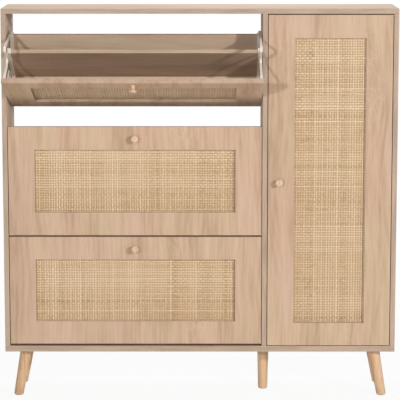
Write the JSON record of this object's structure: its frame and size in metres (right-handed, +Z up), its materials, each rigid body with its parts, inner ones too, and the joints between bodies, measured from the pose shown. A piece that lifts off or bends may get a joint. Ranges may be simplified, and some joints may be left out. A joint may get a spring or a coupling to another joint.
{
  "type": "shoe cabinet",
  "caption": "Light oak shoe cabinet on splayed legs, with stacked tip-out drawers and a tall shelved door, all with woven rattan panels and round knobs.",
  "frame": {"origin": "on the floor, under the middle of the cabinet's box with its top drawer open", "axes": "+X to the right seen from the front, +Y to the wall behind, +Z up"},
  "size_m": [1.2, 0.432, 1.2],
  "materials": {
    "oak_laminate": "satin light oak print on board, vertical grain",
    "solid_oak": "clear satin lacquer",
    "rattan": "open plain weave of cane strands",
    "backing_board": "raw hardboard",
    "white_plastic": "moulded satin",
    "zinc_steel": "zinc plated",
    "nylon": "moulded",
    "beech": "raw"
  },
  "bodies": {
    "carcass": {"top_panel": "oak_laminate", "bottom_panel": "oak_laminate", "left_side_panel": "oak_laminate", "right_side_panel": "oak_laminate", "centre_partition": "oak_laminate", "door_bay_back_panel": "backing_board", "back_rails": "oak_laminate", "shelves": "oak_laminate", "shelf_pins": "zinc_steel", "leg_front_left": "solid_oak", "leg_front_right": "solid_oak", "leg_rear_left": "solid_oak", "leg_rear_right": "solid_oak", "leg_centre": "solid_oak", "leg_plates": "zinc_steel", "leg_bolts": "zinc_steel", "drawer_pivot_plates": "zinc_steel", "door_pivot_pins": "zinc_steel", "cam_fittings": "zinc_steel", "dowels": "beech", "wall_brackets": "zinc_steel", "door_catch": "nylon", "fixing_screws": "zinc_steel"},
    "bottom_drawer": {"bottom_drawer_front": "oak_laminate", "bottom_drawer_rattan": "rattan", "bottom_drawer_backing": "backing_board", "bottom_drawer_knob": "solid_oak", "bottom_drawer_frame_left": "white_plastic", "bottom_drawer_frame_right": "white_plastic", "bottom_drawer_front_stop": "oak_laminate", "bottom_drawer_divider": "oak_laminate", "bottom_drawer_rear_stop": "oak_laminate", "bottom_drawer_screws": "zinc_steel"},
    "middle_drawer": {"middle_drawer_front": "oak_laminate", "middle_drawer_rattan": "rattan", "middle_drawer_backing": "backing_board", "middle_drawer_knob": "solid_oak", "middle_drawer_frame_left": "white_plastic", "middle_drawer_frame_right": "white_plastic", "middle_drawer_front_stop": "oak_laminate", "middle_drawer_divider": "oak_laminate", "middle_drawer_rear_stop": "oak_laminate", "middle_drawer_screws": "zinc_steel"},
    "top_drawer": {"top_drawer_front": "oak_laminate", "top_drawer_rattan": "rattan", "top_drawer_backing": "backing_board", "top_drawer_knob": "solid_oak", "top_drawer_frame_left": "white_plastic", "top_drawer_frame_right": "white_plastic", "top_drawer_front_stop": "oak_laminate", "top_drawer_divider": "oak_laminate", "top_drawer_rear_stop": "oak_laminate", "top_drawer_screws": "zinc_steel"},
    "door": {"door_frame": "oak_laminate", "door_rattan": "rattan", "door_backing": "backing_board", "door_knob": "solid_oak", "door_pivot_bushes": "nylon", "door_catch_plate": "zinc_steel", "door_screws": "zinc_steel"}
  },
  "joints": [
    {"name": "bottom_drawer_tip", "type": "hinge", "parent": "carcass", "child": "bottom_drawer", "pos_m": [-0.1975, 0.00896, 0.278], "axis": [1, 0, 0], "range_deg": [0, 72]},
    {"name": "middle_drawer_tip", "type": "hinge", "parent": "carcass", "child": "middle_drawer", "pos_m": [-0.1975, 0.00896, 0.617], "axis": [1, 0, 0], "range_deg": [0, 72]},
    {"name": "top_drawer_tip", "type": "hinge", "parent": "carcass", "child": "top_drawer", "pos_m": [-0.1975, 0.00896, 0.956], "axis": [1, 0, 0], "range_deg": [-72, 0]},
    {"name": "door_swing", "type": "hinge", "parent": "carcass", "child": "door", "pos_m": [0.563, -0.01754, 0.6735], "axis": [0, 0, 1], "range_deg": [0, 105]}
  ]
}
